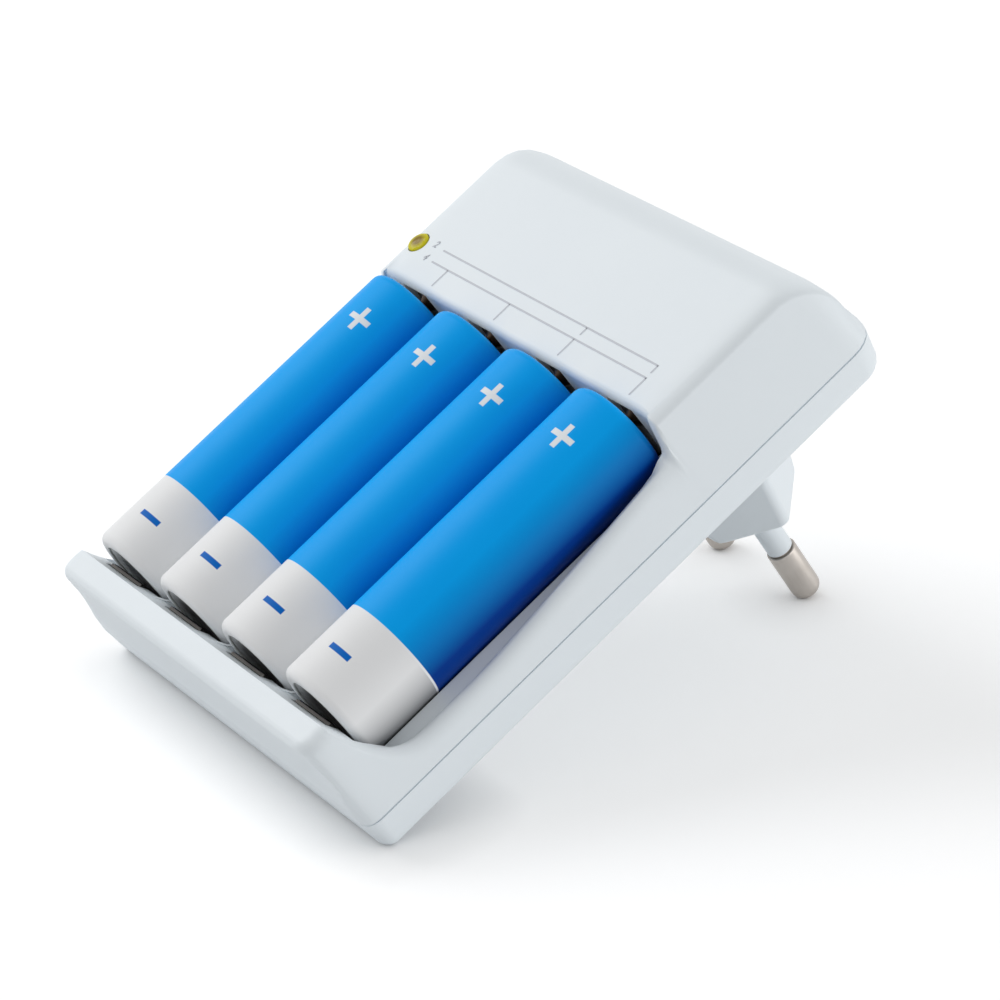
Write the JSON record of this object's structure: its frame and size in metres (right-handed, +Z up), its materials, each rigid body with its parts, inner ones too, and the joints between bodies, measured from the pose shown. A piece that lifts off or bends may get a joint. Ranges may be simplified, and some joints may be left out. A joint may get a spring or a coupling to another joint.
{
  "type": "aa battery charger",
  "caption": "Flat plug-in charger for round AA cells: white two-piece housing with a scooped open bay, a rolled lip, a status lamp and a six-sided two-pin plug block on its back.",
  "frame": {"origin": "centre of the plug face, midway between the two pins", "axes": "+Z up along the cells as the charger hangs on a wall socket, -Y out of the front, +Y along the pins into the socket, +X to the right seen from the front"},
  "size_m": [0.07, 0.0579, 0.0858],
  "materials": {
    "white_plastic": "satin white moulding",
    "nickel": "nickel plated",
    "contact_plate": "dark tinned sheet",
    "cell_wrap": "glossy printed sleeve, blue with a pale grey band",
    "lamp_resin": "tinted clear resin",
    "screw_steel": "zinc plated",
    "board": "solder mask",
    "ferrite": "sintered",
    "winding_tape": "tape",
    "capacitor_sleeve": "shrink sleeve",
    "black_resin": "moulded resin",
    "resistor_coat": "lacquer"
  },
  "bodies": {
    "root": {"front_cover": "white_plastic", "rear_cover": "white_plastic", "pin_sleeve_left": "white_plastic", "pin_sleeve_right": "white_plastic", "plug_pin_left": "nickel", "plug_pin_right": "nickel", "status_led": "lamp_resin", "cover_screws": "screw_steel", "circuit_board": "board", "transformer_core": "ferrite", "transformer_bobbin": "winding_tape", "mains_capacitor": "capacitor_sleeve", "output_capacitor": "capacitor_sleeve", "controller_chip": "black_resin", "rectifier_diodes": "black_resin", "fuse_resistor": "resistor_coat", "cell_1": "cell_wrap", "positive_contact_1": "contact_plate", "negative_contact_1": "nickel", "cell_2": "cell_wrap", "positive_contact_2": "contact_plate", "negative_contact_2": "nickel", "cell_3": "cell_wrap", "positive_contact_3": "contact_plate", "negative_contact_3": "nickel", "cell_4": "cell_wrap", "positive_contact_4": "contact_plate", "negative_contact_4": "nickel"}
  },
  "joints": []
}
